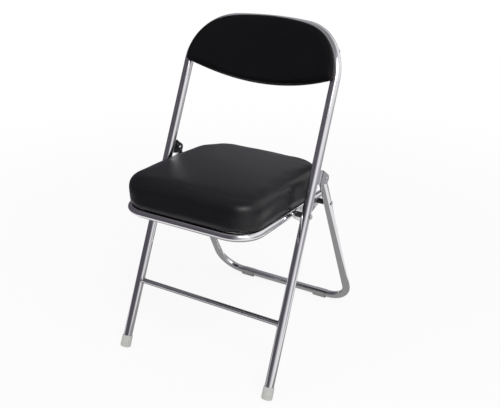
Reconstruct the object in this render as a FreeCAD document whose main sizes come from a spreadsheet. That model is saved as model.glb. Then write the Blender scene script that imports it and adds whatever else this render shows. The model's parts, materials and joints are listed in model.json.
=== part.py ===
# Chromed tube folding chair with a padded seat and backrest, drawn open, in millimetres.
# Z is up, the sitter faces -Y, X runs across, and the origin lies on the floor in the middle.
import FreeCAD, Part
import Sketcher
import math
import os
from FreeCAD import Placement, Rotation, Vector

SIZES = [
    ("tube_diameter", 22, "front frame tube"),
    ("tube_wall", 1.2, "wall of every tube"),
    ("frame_lean", 25.4, "front frame, degrees from upright"),
    ("frame_splay", 0.55, "each front leg, degrees outwards"),
    ("frame_half_width", 199.5, "front leg axis at the rear leg pivot"),
    ("upright_length", 744, "front leg from the floor to the arch"),
    ("arch_corner_radius", 122, "corner bend of the back arch"),
    ("arch_top_angle", 15, "half turn of the arch's top, degrees"),
    ("arch_bow_angle", 56, "how far the top leans into a bow, degrees"),
    ("foot_lift", 8, "front tube end above the floor, along the leg"),
    ("cap_length", 32, "front foot cap along the leg"),
    ("cap_wall", 2, "front foot cap"),
    ("cap_sole", 3, "front foot cap's lower end above the floor, along the leg"),
    ("cap_round", 1.5, "bevel round the foot cap's lower end"),
    ("stretcher_height", 160, "bar between the front legs"),
    ("stretcher_diameter", 13, "bar between the front legs"),
    ("seat_pivot_height", 390, "seat bolt above the floor"),
    ("seat_tilt", 4.5, "seat, degrees down to the rear"),
    ("seat_tube_diameter", 19, "seat frame tube"),
    ("seat_set_in", 34.5, "seat tube axis inside the front leg axis"),
    ("seat_front", 203, "seat bolt to the front tube axis"),
    ("seat_rear", 152, "seat bolt to the seat tube's rear ends"),
    ("seat_corner_radius", 58, "seat tube's front bends"),
    ("rear_pivot_height", 458, "rear leg pivot above the floor"),
    ("rear_pivot_offset", 35.5, "rear leg pivot behind the front leg axis"),
    ("rear_tube_diameter", 20, "rear leg tube"),
    ("rear_set_out", 4.5, "rear leg axis outside the front leg axis"),
    ("rear_angle", 25.9, "rear leg, degrees from upright"),
    ("rear_corner_radius", 68, "rear leg's lower bends"),
    ("rear_top_length", 14, "rear tube above its pivot"),
    ("glide_thickness", 2.5, "floor glide under the rear bar"),
    ("glide_length", 36, "floor glide along the rear bar"),
    ("glide_place", 116, "floor glide from the middle"),
    ("bracket_sheet", 2, "rear leg bracket"),
    ("bracket_rise", 16, "bracket foot above the rear leg pivot"),
    ("bracket_drop", 17, "bracket foot below the rear leg pivot"),
    ("ear_radius", 11, "round end of the bracket's ears"),
    ("rivet_diameter", 6, "rivets of the rear legs and links"),
    ("rivet_head", 11, "rivet heads"),
    ("slot_rivet_head", 14, "heads of the rivets that run in the lugs' slots"),
    ("bolt_diameter", 8, "seat bolt"),
    ("bolt_head", 12, "seat bolt's round head"),
    ("nut_flats", 13, "seat bolt's nut"),
    ("nut_height", 6, "seat bolt's nut"),
    ("bush_diameter", 13, "spacers on the seat bolt and link rivet"),
    ("lug_sheet", 3, "lug under the seat tube"),
    ("lug_radius", 12, "round ends of the lug"),
    ("lug_angle", 29.5, "lug below the seat plane, degrees"),
    ("link_reach", 45, "seat bolt to the link's front rivet"),
    ("slot_travel", 12, "free run of the rivet in the lug's slot"),
    ("slot_side_play", 2.6, "play beside the rivet in the slot"),
    ("link_drop", 85.7, "rear pivot to the link's rear rivet, along the leg"),
    ("link_sheet", 3, "link bar"),
    ("link_radius", 7.5, "round ends of the link bar"),
    ("running_gap", 0.05, "pin in a hole, at the radius"),
    ("side_gap", 0.4, "between plates that turn past each other"),
    ("board_thickness", 12, "seat board"),
    ("board_inset", 3, "seat board inside the cushion's lower edge"),
    ("cushion_overhang", 7.5, "cushion at its widest beyond the seat tube axis"),
    ("cushion_front", 207, "cushion ahead of the seat bolt"),
    ("cushion_rear", 182, "cushion behind the seat bolt"),
    ("cushion_front_radius", 64, "cushion's front corners in plan"),
    ("cushion_rear_radius", 84, "cushion's rear corners in plan"),
    ("cushion_side", 64, "cushion's edge height"),
    ("cushion_edge_radius", 24, "round upper edge"),
    ("cushion_crown", 6, "middle above the edge"),
    ("cushion_draw_in", 3, "lower edge drawn in under the bulge"),
    ("tab_length", 24, "board tab along the seat tube"),
    ("tab_reach", 20, "board tab inwards from the seat tube axis"),
    ("tab_sheet", 2, "board tab"),
    ("tab_spacing", 115, "board tabs from the seat bolt"),
    ("screw_diameter", 4, "board and backrest screws"),
    ("screw_head", 8, "board and backrest screws"),
    ("screw_head_height", 2.4, "board and backrest screws"),
    ("screw_bite", 8, "seat screw inside the board"),
    ("back_set_in", 4, "backrest's lower corners inside the front leg axis"),
    ("back_tip", 741, "backrest's lower corners along the leg"),
    ("back_top", 875, "backrest's top edge along the leg"),
    ("back_corner_radius", 119, "backrest's upper corners"),
    ("back_top_radius", 484, "backrest's top edge"),
    ("back_sag", 28, "lower edge below its corners"),
    ("back_tip_radius", 9, "backrest's lower corners"),
    ("back_bow", 32, "backrest's hollow across its width"),
    ("back_standoff", 0.8, "backrest behind face to the tube at the legs"),
    ("back_board", 5, "backrest board"),
    ("back_pad_edge", 7, "backrest pad at its sides"),
    ("back_pad_middle", 14, "backrest pad in the middle"),
    ("back_pad_round", 5, "backrest pad's front edge"),
    ("back_screw_angle", 35, "backrest screws, degrees inwards"),
    ("back_screw_length", 26, "backrest screws below the head"),
    ("back_screw_low", 32, "lower screws round the arch's corner, degrees"),
    ("back_screw_high", 62, "upper screws round the arch's corner, degrees"),
    ("glide_round", 14, "floor glide's outer radius"),
    ("glide_grip", 4, "floor glide above the bar's axis"),
]

doc = FreeCAD.newDocument("folding_chair")
sheet = doc.addObject("Spreadsheet::Sheet", "Sizes")
for row, (alias, value, note) in enumerate(SIZES, start=1):
    sheet.set(f"A{row}", alias)
    sheet.set(f"B{row}", str(value))
    sheet.set(f"C{row}", note)
    sheet.setAlias(f"B{row}", alias)
doc.recompute()
S = {alias: float(sheet.get(alias)) for alias, _, _ in SIZES}
pieces = []

# Shapes of heads, plugs and the cushion, as shares of their sizes
HEAD_RIM = 0.5
DOME_FLAT = 0.3
RIVET_DOME = 0.2
RIVET_EDGE = 0.06
SCREW_EDGE = 0.4
BOLT_DOME = 0.3
PLUG_DEPTH = 0.4
PLUG_DOME = 0.17
PLUG_EDGE = 0.06
CAP_BEVEL = 0.8
CAP_LIP = 0.6
SADDLE_WRAP = 0.35
SCREW_INSET = 0.75
BULGE_HEIGHT = 0.45
BLOCK_HEIGHT = 1.5
RIM_HEIGHT = 0.6

# Shared directions and places, worked out from the sheet
X_AXIS = Vector(1, 0, 0)
lean = math.radians(S["frame_lean"])
UP_FRAME = Vector(0, math.sin(lean), math.cos(lean))
BACK_FRAME = Vector(0, math.cos(lean), -math.sin(lean))
splay = math.radians(S["frame_splay"])
LEG_UP = UP_FRAME * math.cos(splay) - X_AXIS * math.sin(splay)
rear = math.radians(S["rear_angle"])
REAR_DOWN = Vector(0, math.sin(rear), -math.cos(rear))
SEAT_TURN = Rotation(X_AXIS, -S["seat_tilt"])

seat_half_width = S["frame_half_width"] - S["seat_set_in"]
rear_half_width = S["frame_half_width"] + S["rear_set_out"]
cushion_half_width = seat_half_width + S["cushion_overhang"]
back_half_width = S["frame_half_width"] - S["back_set_in"]
bar_height = S["rear_tube_diameter"] / 2 + S["glide_thickness"]
pivot_along = (S["rear_pivot_height"] + S["rear_pivot_offset"] * math.sin(lean)) / math.cos(lean)
rear_pivot_y = pivot_along * math.sin(lean) + S["rear_pivot_offset"] * math.cos(lean)
rear_bar_y = rear_pivot_y + (S["rear_pivot_height"] - bar_height) * math.tan(rear)
seat_pivot_y = S["seat_pivot_height"] * math.tan(lean)
front_reach = seat_pivot_y - S["seat_front"] * math.cos(math.radians(S["seat_tilt"]))
front_reach -= S["seat_tube_diameter"] / 2
foot_y = -(rear_bar_y + S["glide_round"] + front_reach) / 2


def on_frame(x, along, behind=0.0):
    """A point of the leaning front frame: across, up along the legs and square behind them."""
    return Vector(x, foot_y, 0) + UP_FRAME * along + BACK_FRAME * behind


def leg_x(along):
    """Distance of the right front leg's axis from the middle at a place along the leg."""
    return S["frame_half_width"] + (pivot_along - along) * math.tan(splay)


seat_along = S["seat_pivot_height"] / math.cos(lean)
SEAT_PIVOT = on_frame(0, seat_along)
REAR_PIVOT = on_frame(0, pivot_along, S["rear_pivot_offset"])
LINK_REAR = REAR_PIVOT + REAR_DOWN * S["link_drop"]
SEAT_FRAME = Placement(SEAT_PIVOT, SEAT_TURN)
lug_turn = math.radians(S["lug_angle"])
LUG_LINE = SEAT_TURN.multVec(Vector(0, math.cos(lug_turn), -math.sin(lug_turn)))
LINK_FRONT = SEAT_PIVOT + LUG_LINE * S["link_reach"]

seat_tube_out = seat_half_width + S["seat_tube_diameter"] / 2
lug_out = seat_tube_out + S["lug_sheet"]
link_in = lug_out + S["side_gap"]
link_out = link_in + S["link_sheet"]
rear_tube_out = rear_half_width + S["rear_tube_diameter"] / 2


def in_seat(x, y, z):
    """A point given in the seat's own tilted frame, whose origin is between the seat bolts."""
    return SEAT_FRAME.multVec(Vector(x, y, z))


def place(point, direction):
    """A placement whose own Z runs along a direction."""
    return Placement(point, Rotation(Vector(0, 0, 1), direction))


def bind(item, **formulas):
    """Ties properties to the sheet."""
    for name, formula in formulas.items():
        item.setExpression(name, formula)
    return item


def keep(item, label):
    """Names a finished sub-part and puts it on the list that is written out."""
    item.Label = label
    pieces.append(item)
    return item


def cylinder(name, radius, height, point, direction):
    """A round bar whose radius and height are formulas of the sheet."""
    bar = bind(doc.addObject("Part::Cylinder", name), Radius=radius, Height=str(height))
    bar.Placement = place(point, direction)
    return bar


def cut(name, base, *tools):
    """The base less one or more tools."""
    result = base
    for n, tool in enumerate(tools):
        step = doc.addObject("Part::Cut", f"{name}_cut{n}")
        step.Base = result
        step.Tool = tool
        result = step
    return result


def fuse(name, *shapes):
    """Several shapes as one."""
    whole = doc.addObject("Part::MultiFuse", name)
    whole.Shapes = list(shapes)
    whole.Refine = True
    return whole


def group(name, *shapes):
    """Several separate solids in one node."""
    several = doc.addObject("Part::Compound", name)
    several.Links = list(shapes)
    return several


def mirrored(source, name):
    """The same piece on the other side of the chair."""
    twin = doc.addObject("Part::Mirroring", name)
    twin.Source = source
    twin.Normal = X_AXIS
    return twin


def keep_pair(item, label):
    """Keeps a right piece and its left twin."""
    keep(item, f"{label}_right")
    keep(mirrored(item, f"{label}_twin"), f"{label}_left")


def wire(name, edges):
    """A path or outline from lines and arcs."""
    path = doc.addObject("Part::Feature", name)
    path.Shape = Part.Wire(edges)
    return path


def line(start, end):
    return Part.LineSegment(start, end).toShape()


def arc(start, middle, end):
    return Part.Arc(start, middle, end).toShape()


def bend(start, along, onto, radius):
    """Start, middle and end of an arc that leaves a point along one direction and ends along another."""
    turn = along.getAngle(onto)
    reach = radius * math.tan(turn / 2)
    corner = start + along * reach
    centre = start + (onto - along * math.cos(turn)).normalize() * radius
    middle = centre + (corner - centre).normalize() * radius
    return start, middle, corner + onto * reach


def bent_bar(name, path, radius):
    """A round bar along a path: a cylinder for every straight run and part of a torus for every bend."""
    runs = []
    for n, edge in enumerate(path):
        start = edge.valueAt(edge.FirstParameter)
        if edge.Curve.TypeId == "Part::GeomLine":
            forward = edge.tangentAt(edge.FirstParameter)
            runs.append(cylinder(f"{name}_run{n}", radius, edge.Length, start, forward))
            continue
        elbow = bind(doc.addObject("Part::Torus", f"{name}_run{n}"), Radius2=radius)
        elbow.Radius1 = edge.Curve.Radius
        elbow.Angle3 = math.degrees(edge.LastParameter - edge.FirstParameter)
        outward = (start - edge.Curve.Center).normalize()
        turn = Rotation(outward, edge.Curve.Axis.cross(outward), edge.Curve.Axis, "ZXY")
        elbow.Placement = Placement(edge.Curve.Center, turn)
        runs.append(elbow)
    return fuse(name, *runs)


def tube(name, path, radius):
    """The outside of a bent tube and the bore inside it."""
    outside = bent_bar(f"{name}_round", path, radius)
    return outside, bent_bar(f"{name}_bore", path, f"{radius} - Sizes.tube_wall")


def turned(name, profile):
    """A body turned about its own Z, from corners given as (radius, height) formulas."""
    body = doc.addObject("PartDesign::Body", name)
    sketch = body.newObject("Sketcher::SketchObject", f"{name}_profile")
    plane = next(item for item in body.Origin.OriginFeatures if item.Role == "XZ_Plane")
    sketch.AttachmentSupport = [(plane, "")]
    sketch.MapMode = "FlatFace"
    draw_polygon(sketch, profile)
    turn = body.newObject("PartDesign::Revolution", f"{name}_turn")
    turn.Profile = sketch
    turn.ReferenceAxis = (sketch, ["V_Axis"])
    turn.Angle = 360
    return body


def padded(name, corners, thickness):
    """A plate drawn in its own XY plane from corner formulas, half its thickness on either side."""
    body = doc.addObject("PartDesign::Body", name)
    sketch = body.newObject("Sketcher::SketchObject", f"{name}_outline")
    plane = next(item for item in body.Origin.OriginFeatures if item.Role == "XY_Plane")
    sketch.AttachmentSupport = [(plane, "")]
    sketch.MapMode = "FlatFace"
    draw_polygon(sketch, corners)
    pad = body.newObject("PartDesign::Pad", f"{name}_pad")
    pad.Profile = sketch
    pad.Midplane = True
    bind(pad, Length=thickness)
    return body


def draw_polygon(sketch, corners):
    """Closed straight outline; every corner's two coordinates are tied to the sheet."""
    values = [[number(formula) for formula in corner] for corner in corners]
    count = len(corners)
    for n in range(count):
        start = Vector(*values[n], 0)
        end = Vector(*values[(n + 1) % count], 0)
        sketch.addGeometry(Part.LineSegment(start, end), False)
    for n in range(count):
        sketch.addConstraint(Sketcher.Constraint("Coincident", n, 2, (n + 1) % count, 1))
    for n, corner in enumerate(corners):
        for axis, kind in enumerate(("DistanceX", "DistanceY")):
            if corner[axis] == "0":
                line_number = -2 if axis == 0 else -1
                sketch.addConstraint(Sketcher.Constraint("PointOnObject", n, 1, line_number))
                continue
            index = sketch.addConstraint(Sketcher.Constraint(kind, -1, 1, n, 1, values[n][axis]))
            sketch.setExpression(f"Constraints[{index}]", corner[axis])


def number(formula):
    """The present value of a sheet formula."""
    return float(sheet.evalExpression(formula))


def flip(point):
    """The same place on the left side."""
    return Vector(-point.x, point.y, point.z)


def capsule(name, radius, length, thickness, start, direction):
    """A flat bar with round ends, square to X, that begins at a point and runs along a direction."""
    ends = [
        cylinder(f"{name}_end{n}", radius, thickness, start + direction * length * n, X_AXIS)
        for n in (0, 1)
    ]
    middle = bind(doc.addObject("Part::Box", f"{name}_middle"), Width=f"2 * ({radius})", Height=thickness)
    middle.Length = length
    sideways = X_AXIS.cross(direction)
    corner = start - sideways * number(radius)
    middle.Placement = Placement(corner, Rotation(direction, sideways, X_AXIS, "XYZ"))
    return fuse(name, middle, *ends)


def rivet(name, length, point, head="Sizes.rivet_head"):
    """A rivet along X with a low dome at either end."""
    shank = "Sizes.rivet_diameter / 2"
    rim = f"{HEAD_RIM} * {head}"
    flat = f"{DOME_FLAT} * {head}"
    dome = f"{RIVET_DOME} * {head}"
    edge = f"{RIVET_EDGE} * {head}"
    corners = [
        ("0", f"-{dome}"), (flat, f"-{dome}"), (rim, f"-{edge}"), (rim, "0"), (shank, "0"),
        (shank, length), (rim, length), (rim, f"{length} + {edge}"), (flat, f"{length} + {dome}"),
        ("0", f"{length} + {dome}"),
    ]
    body = turned(name, corners)
    body.Placement = place(point, X_AXIS)
    return body


def headed(name, head, head_height, shank, length, point, direction):
    """A bolt or screw: a low domed head, then a shank that runs along a direction."""
    rim = f"{HEAD_RIM} * {head}"
    corners = [
        ("0", f"-{head_height}"), (f"{DOME_FLAT} * {head}", f"-{head_height}"),
        (rim, f"-{SCREW_EDGE} * {head_height}"), (rim, "0"), (f"{shank} / 2", "0"),
        (f"{shank} / 2", length), ("0", length),
    ]
    body = turned(name, corners)
    body.Placement = place(point, direction)
    return body


def plug(name, diameter, point, direction):
    """A tube's end plug: a stub in the bore and a low dome on the end."""
    outer = f"{diameter} / 2"
    stub = f"{diameter} / 2 - Sizes.tube_wall - Sizes.running_gap"
    depth = f"-{PLUG_DEPTH} * {diameter}"
    dome = f"{PLUG_DOME} * {diameter}"
    corners = [
        ("0", depth), (stub, depth), (stub, "0"), (outer, "0"), (outer, f"{PLUG_EDGE} * {diameter}"),
        (f"{DOME_FLAT} * {diameter}", dome), ("0", dome),
    ]
    body = turned(name, corners)
    body.Placement = place(point, direction)
    return body


def bore_across(name, diameter, point):
    """A running hole right through the chair along X."""
    reach = 2 * S["frame_half_width"]
    return cylinder(name, f"{diameter} / 2 + Sizes.running_gap", 2 * reach, point - X_AXIS * reach, X_AXIS)


def common(name, base, tool):
    shared = doc.addObject("Part::Common", name)
    shared.Base = base
    shared.Tool = tool
    return shared


def rounded(name, base, radius, wanted):
    """Rounds the edges of a shape that a test picks."""
    doc.recompute()
    chosen = [n for n, edge in enumerate(base.Shape.Edges, start=1) if wanted(edge)]
    smooth = doc.addObject("Part::Fillet", name)
    smooth.Base = base
    smooth.Edges = [(n, radius, radius) for n in chosen]
    return smooth


# Holes that line up through several pieces
seat_bore = bore_across("seat_bolt_bore", "Sizes.bolt_diameter", SEAT_PIVOT)
pivot_bore = bore_across("rear_pivot_bore", "Sizes.rivet_diameter", REAR_PIVOT)
link_rear_bore = bore_across("link_rear_bore", "Sizes.rivet_diameter", LINK_REAR)
link_front_bore = bore_across("link_front_bore", "Sizes.rivet_diameter", LINK_FRONT)

# The floor, as a slab that trims feet and glides flat
floor_slab = bind(
    doc.addObject("Part::Box", "floor_slab"),
    Length="4 * Sizes.frame_half_width", Width="4 * Sizes.frame_half_width", Height="2 * Sizes.cap_length",
)
floor_slab.Placement.Base = Vector(-2, -2, 0) * S["frame_half_width"] - Vector(0, 0, 2) * S["cap_length"]

# Front frame: two legs that run on into the back, joined by an arch that bows backwards
leg_start = on_frame(leg_x(S["foot_lift"]), S["foot_lift"])
shoulder = on_frame(leg_x(S["upright_length"]), S["upright_length"])
bow_angle = math.radians(S["arch_bow_angle"])
top_turn = math.radians(S["arch_top_angle"])
bow_line = UP_FRAME * math.cos(bow_angle) + BACK_FRAME * math.sin(bow_angle)
top_line = bow_line * math.sin(top_turn) - X_AXIS * math.cos(top_turn)
corner_start, corner_middle, corner_end = bend(shoulder, LEG_UP, top_line, S["arch_corner_radius"])
top_rise = corner_end.x / math.sin(top_turn) * (1 - math.cos(top_turn))
top_middle = Vector(0, corner_end.y, corner_end.z) + bow_line * top_rise
arch_corner = arc(corner_start, corner_middle, corner_end)
frame_path = [
    line(leg_start, shoulder),
    arch_corner,
    arc(corner_end, top_middle, flip(corner_end)),
    arc(flip(corner_end), flip(corner_middle), flip(corner_start)),
    line(flip(shoulder), flip(leg_start)),
]
frame_round, frame_hollow = tube("front_frame", frame_path, "Sizes.tube_diameter / 2")

# Backrest screws: from behind through the arch's corners, slanted inwards into the board
screw_slant = math.radians(S["back_screw_angle"])
screws = []
screw_bores = []
for n, alias in enumerate(("back_screw_low", "back_screw_high")):
    spot = arch_corner.valueAt(arch_corner.FirstParameter + math.radians(S[alias]))
    inward = (arch_corner.Curve.Center - spot).normalize()
    forward = arch_corner.Curve.Axis
    if forward.dot(BACK_FRAME) > 0:
        forward = forward * -1
    slant = forward * math.cos(screw_slant) + inward * math.sin(screw_slant)
    seat_of_head = spot - slant * (S["tube_diameter"] / 2 + S["running_gap"])
    screw = headed(
        f"back_screw{n}", "Sizes.screw_head", "Sizes.screw_head_height", "Sizes.screw_diameter",
        "Sizes.back_screw_length", seat_of_head, slant,
    )
    bore = cylinder(
        f"back_screw_bore{n}", "Sizes.screw_diameter / 2 + Sizes.running_gap",
        "Sizes.back_screw_length + Sizes.running_gap", seat_of_head, slant,
    )
    screws += [screw, mirrored(screw, f"back_screw_twin{n}")]
    screw_bores += [bore, mirrored(bore, f"back_screw_bore_twin{n}")]
screw_bore_set = group("back_screw_bores", *screw_bores)
keep(group("backrest_screw_set", *screws), "backrest_screws")
keep(cut("front_frame_tube", frame_round, frame_hollow, seat_bore, screw_bore_set), "front_frame_tube")

# Stretcher, coped to the legs
stretcher_along = S["stretcher_height"] / math.cos(lean)
stretcher_start = on_frame(-leg_x(stretcher_along), stretcher_along)
stretcher_bar = cylinder(
    "stretcher_bar", "Sizes.stretcher_diameter / 2", 2 * leg_x(stretcher_along), stretcher_start, X_AXIS,
)
keep(cut("stretcher", stretcher_bar, frame_round), "stretcher")

# Front foot caps: sleeves on the leg ends with a solid sole, trimmed flat by the floor
cap_outer = "Sizes.tube_diameter / 2 + Sizes.cap_wall"
cap_bore = "Sizes.tube_diameter / 2 + Sizes.running_gap"
foot_cap = turned("foot_cap", [
    ("0", "Sizes.cap_sole"), (f"{cap_outer} - Sizes.cap_round", "Sizes.cap_sole"),
    (cap_outer, "Sizes.cap_sole + Sizes.cap_round"), (cap_outer, f"{CAP_BEVEL} * Sizes.cap_length"),
    (f"Sizes.tube_diameter / 2 + {CAP_LIP} * Sizes.cap_wall", "Sizes.cap_length"),
    (cap_bore, "Sizes.cap_length"), (cap_bore, "Sizes.foot_lift"), ("0", "Sizes.foot_lift"),
])
foot_cap.Placement = place(on_frame(leg_x(0), 0), LEG_UP)
keep_pair(cut("foot_cap_trim", foot_cap, floor_slab), "front_foot_cap")

# Rear leg brackets: a saddle on the back of each leg and two ears that carry the rear leg
ear_span = "Sizes.rear_tube_diameter + 2 * (Sizes.side_gap + Sizes.bracket_sheet)"
saddle_in = f"{SADDLE_WRAP} * Sizes.tube_diameter"
saddle_out = "Sizes.tube_diameter / 2 + Sizes.bracket_sheet"


def ear_corner(rise):
    """Where a straight edge from the saddle's end touches the ear's round end."""
    run = S["rear_pivot_offset"] - number(saddle_out)
    reach = math.hypot(run, rise)
    side = math.copysign(1, rise)
    turn = math.atan2(-rise, run) + side * math.asin(S["ear_radius"] / reach)
    length = math.sqrt(reach ** 2 - S["ear_radius"] ** 2)
    return str(number(saddle_out) + length * math.cos(turn)), str(rise + length * math.sin(turn))


BRACKET_TURN = Rotation(BACK_FRAME, UP_FRAME, X_AXIS, "XYZ")
bracket_root = on_frame(rear_half_width, pivot_along)
ears = padded("bracket_ears", [
    (saddle_in, "-Sizes.bracket_drop"), (saddle_out, "-Sizes.bracket_drop"),
    ear_corner(-S["bracket_drop"]), ("Sizes.rear_pivot_offset", "0"), ear_corner(S["bracket_rise"]),
    (saddle_out, "Sizes.bracket_rise"), (saddle_in, "Sizes.bracket_rise"),
], ear_span)
ears.Placement = Placement(bracket_root, BRACKET_TURN)
ear_start = REAR_PIVOT + X_AXIS * (rear_half_width - number(ear_span) / 2)
ear_ends = cylinder("bracket_ear_ends", "Sizes.ear_radius", ear_span, ear_start, X_AXIS)
ear_gap = bind(
    doc.addObject("Part::Box", "bracket_gap"),
    Length="Sizes.rear_pivot_offset + Sizes.ear_radius",
    Width="4 * Sizes.bracket_drop",
    Height="Sizes.rear_tube_diameter + 2 * Sizes.side_gap",
)
gap_inner = -(S["rear_tube_diameter"] / 2 + S["side_gap"])
gap_corner = Vector(number(saddle_out), -2 * S["bracket_drop"], gap_inner)
ear_gap.Placement = Placement(bracket_root + BRACKET_TURN.multVec(gap_corner), BRACKET_TURN)
bracket = cut("bracket", fuse("bracket_blank", ears, ear_ends), ear_gap, frame_round, pivot_bore)
keep_pair(bracket, "rear_leg_bracket")
keep_pair(rivet("rear_pivot_rivet", ear_span, ear_start), "rear_leg_pivot_rivet")

# Seat bolts: through the leg, a spacer and the seat tube, with a nut on the inner end
bolt_x = leg_x(seat_along) + S["tube_diameter"] / 2 + S["side_gap"] / 2
nut_x = seat_half_width - S["seat_tube_diameter"] / 2 - S["side_gap"] - S["nut_height"]
bolt_length = bolt_x - nut_x + S["side_gap"]
keep_pair(headed(
    "seat_bolt", "Sizes.bolt_head", f"{BOLT_DOME} * Sizes.bolt_head", "Sizes.bolt_diameter",
    str(bolt_length), SEAT_PIVOT + X_AXIS * bolt_x, X_AXIS * -1,
), "seat_pivot_bolt")
nut_blank = bind(
    doc.addObject("Part::Prism", "seat_nut_blank"),
    Circumradius="Sizes.nut_flats / 2 / cos(30)", Height="Sizes.nut_height",
)
nut_blank.Polygon = 6
nut_blank.Placement = place(SEAT_PIVOT + X_AXIS * nut_x, X_AXIS)
keep_pair(cut("seat_nut", nut_blank, seat_bore), "seat_pivot_nut")
bush_x = lug_out + S["side_gap"]
bush_bar = cylinder(
    "seat_bush_bar", "Sizes.bush_diameter / 2", leg_x(seat_along) - bush_x,
    SEAT_PIVOT + X_AXIS * bush_x, X_AXIS,
)
keep_pair(cut("seat_bush", bush_bar, frame_round, seat_bore), "seat_pivot_spacer")

# Rear leg: one tube bent to a U, whose bar lies along the floor
rear_length = (S["rear_pivot_height"] - bar_height) / math.cos(rear)
rear_top = REAR_PIVOT - REAR_DOWN * S["rear_top_length"] + X_AXIS * rear_half_width
rear_bend = REAR_PIVOT + REAR_DOWN * (rear_length - S["rear_corner_radius"]) + X_AXIS * rear_half_width
rear_corner = bend(rear_bend, REAR_DOWN, X_AXIS * -1, S["rear_corner_radius"])
rear_path = [
    line(rear_top, rear_bend),
    arc(*rear_corner),
    line(rear_corner[2], flip(rear_corner[2])),
    arc(*[flip(point) for point in reversed(rear_corner)]),
    line(flip(rear_bend), flip(rear_top)),
]
rear_round, rear_hollow = tube("rear_leg", rear_path, "Sizes.rear_tube_diameter / 2")
keep(cut("rear_leg_tube", rear_round, rear_hollow, pivot_bore, link_rear_bore), "rear_leg_tube")
keep_pair(plug("rear_leg_plug", "Sizes.rear_tube_diameter", rear_top, REAR_DOWN * -1), "rear_leg_plug")

# Floor glides: clips under the rear bar, trimmed flat by the floor
glide_start = Vector(S["glide_place"] - S["glide_length"] / 2, foot_y + rear_bar_y, bar_height)
glide_blank = cylinder("glide_blank", "Sizes.glide_round", "Sizes.glide_length", glide_start, X_AXIS)
bar_bore = cylinder(
    "glide_bore", "Sizes.rear_tube_diameter / 2 + Sizes.running_gap", "Sizes.glide_length",
    glide_start, X_AXIS,
)
glide_mouth = bind(
    doc.addObject("Part::Box", "glide_mouth"),
    Length="Sizes.glide_length", Width="4 * Sizes.glide_round", Height="2 * Sizes.glide_round",
)
glide_mouth.Placement.Base = glide_start + Vector(0, -2 * S["glide_round"], S["glide_grip"])
keep_pair(cut("rear_glide", glide_blank, bar_bore, glide_mouth, floor_slab), "rear_glide")

# Fold links: flat bars between the seat lugs and the rear legs, with their rivets and spacers
link_line = LINK_REAR - LINK_FRONT
link_bar = capsule(
    "fold_link_bar", "Sizes.link_radius", link_line.Length, "Sizes.link_sheet",
    LINK_FRONT + X_AXIS * link_in, Vector(link_line).normalize(),
)
keep_pair(cut("fold_link", link_bar, link_front_bore, link_rear_bore), "fold_link")
front_rivet_x = seat_tube_out - S["side_gap"]
keep_pair(rivet(
    "link_front_rivet", str(link_out - front_rivet_x), LINK_FRONT + X_AXIS * front_rivet_x,
    "Sizes.slot_rivet_head",
), "link_front_rivet")
rear_rivet_x = link_in - S["side_gap"]
rear_rivet_end = rear_tube_out + S["running_gap"]
keep_pair(rivet(
    "link_rear_rivet", str(rear_rivet_end - rear_rivet_x), LINK_REAR + X_AXIS * rear_rivet_x,
), "link_rear_rivet")
link_bush_x = link_out + S["side_gap"]
link_bush = cylinder(
    "link_bush_bar", "Sizes.bush_diameter / 2", rear_half_width - link_bush_x,
    LINK_REAR + X_AXIS * link_bush_x, X_AXIS,
)
keep_pair(cut("link_bush", link_bush, rear_round, link_rear_bore), "link_rear_spacer")

# Seat frame: a U of tube, open at the rear, that turns on the seat bolts
seat_end = in_seat(seat_half_width, S["seat_rear"], 0)
seat_bend = in_seat(seat_half_width, S["seat_corner_radius"] - S["seat_front"], 0)
FORWARD = SEAT_TURN.multVec(Vector(0, -1, 0))
SEAT_UP = SEAT_TURN.multVec(Vector(0, 0, 1))
seat_corner = bend(seat_bend, FORWARD, X_AXIS * -1, S["seat_corner_radius"])
seat_path = [
    line(seat_end, seat_bend),
    arc(*seat_corner),
    line(seat_corner[2], flip(seat_corner[2])),
    arc(*[flip(point) for point in reversed(seat_corner)]),
    line(flip(seat_bend), flip(seat_end)),
]
seat_round, seat_hollow = tube("seat_frame", seat_path, "Sizes.seat_tube_diameter / 2")
keep(cut("seat_frame_tube", seat_round, seat_hollow, seat_bore), "seat_frame_tube")
keep_pair(plug("seat_plug", "Sizes.seat_tube_diameter", seat_end, FORWARD * -1), "seat_tube_plug")

# Seat lugs: plates beside the seat tube, slotted for the link's rivet
lug_plate = capsule(
    "seat_lug_plate", "Sizes.lug_radius", S["link_reach"], "Sizes.lug_sheet",
    SEAT_PIVOT + X_AXIS * seat_tube_out, LUG_LINE,
)
slot_start = LINK_FRONT - LUG_LINE * S["slot_travel"] + X_AXIS * (seat_tube_out - S["lug_sheet"])
lug_slot = capsule(
    "seat_lug_slot", "Sizes.rivet_diameter / 2 + Sizes.slot_side_play", S["slot_travel"],
    "3 * Sizes.lug_sheet", slot_start, LUG_LINE,
)
keep_pair(cut("seat_lug", lug_plate, lug_slot, seat_bore), "seat_lug")

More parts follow.
